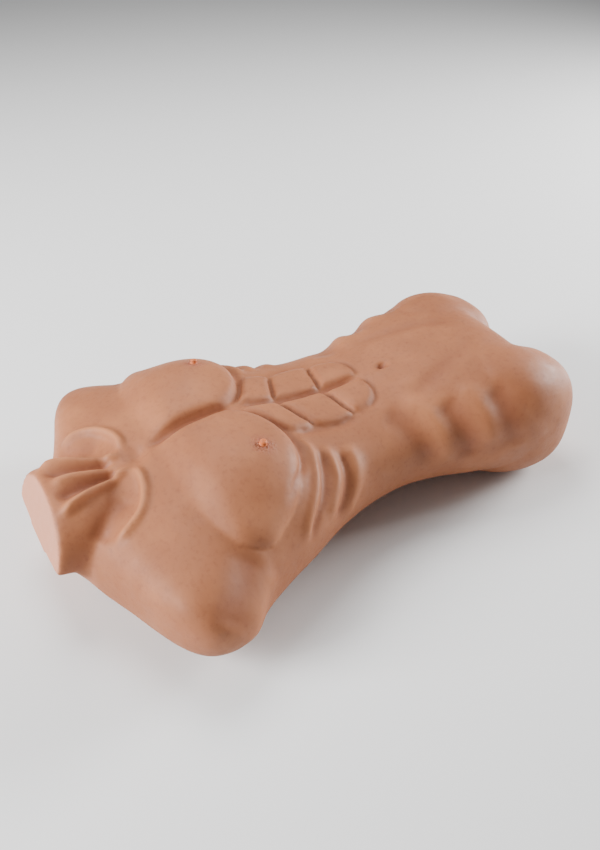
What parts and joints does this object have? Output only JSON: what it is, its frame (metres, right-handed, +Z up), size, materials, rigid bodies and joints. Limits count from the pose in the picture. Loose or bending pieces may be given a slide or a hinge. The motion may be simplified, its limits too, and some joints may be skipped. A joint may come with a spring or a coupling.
{
  "type": "torso mannequin",
  "caption": "Soft-skinned torso mannequin lying on its back, with a foam core and a steel frame that bends at the waist.",
  "frame": {"origin": "on the floor under the middle of the body as it lies on its back", "axes": "+Z up out of the chest, +Y along the body from the neck to the thighs, X across the shoulders"},
  "size_m": [0.4338, 0.65, 0.1653],
  "materials": {
    "skin": "satin",
    "nipple": "satin",
    "foam": "matte",
    "frame_steel": "satin",
    "zinc_hardware": "gloss",
    "nylon": "satin"
  },
  "bodies": {
    "pelvis": {"skin_pelvis": "skin", "skin_waist": "skin", "core_pelvis_front": "foam", "core_pelvis_back": "foam", "core_waist": "foam", "spine_lower": "zinc_hardware", "tongue_pin": "zinc_hardware", "waist_tongue": "frame_steel", "pelvis_hoop": "frame_steel", "thigh_disc_left": "frame_steel", "thigh_disc_right": "frame_steel", "pelvis_plate": "frame_steel", "pelvis_spine_u_bolt": "zinc_hardware", "pelvis_cross_u_bolt": "zinc_hardware", "pelvis_nut_1": "zinc_hardware", "pelvis_nut_2": "zinc_hardware", "pelvis_nut_3": "zinc_hardware", "pelvis_nut_4": "zinc_hardware"},
    "chest": {"skin_chest": "skin", "nipple_left": "nipple", "nipple_right": "nipple", "core_chest_front": "foam", "core_chest_back": "foam", "neck_disc": "frame_steel", "spine_upper": "zinc_hardware", "shoulder_bar": "frame_steel", "shoulder_disc_left": "frame_steel", "shoulder_disc_right": "frame_steel", "shoulder_plate": "frame_steel", "shoulder_spine_u_bolt": "zinc_hardware", "shoulder_cross_u_bolt": "zinc_hardware", "shoulder_nut_1": "zinc_hardware", "shoulder_nut_2": "zinc_hardware", "shoulder_nut_3": "zinc_hardware", "shoulder_nut_4": "zinc_hardware", "fork_pin": "zinc_hardware", "waist_fork": "frame_steel", "waist_bolt": "zinc_hardware", "waist_nut": "zinc_hardware", "friction_washer_left": "nylon", "friction_washer_right": "nylon"}
  },
  "joints": [
    {"name": "waist_bend", "type": "hinge", "parent": "pelvis", "child": "chest", "pos_m": [0, 0.065, 0.09265], "axis": [-1, 0, 0], "range_deg": [0, 25], "deforming": ["skin_waist", "core_waist"]}
  ]
}
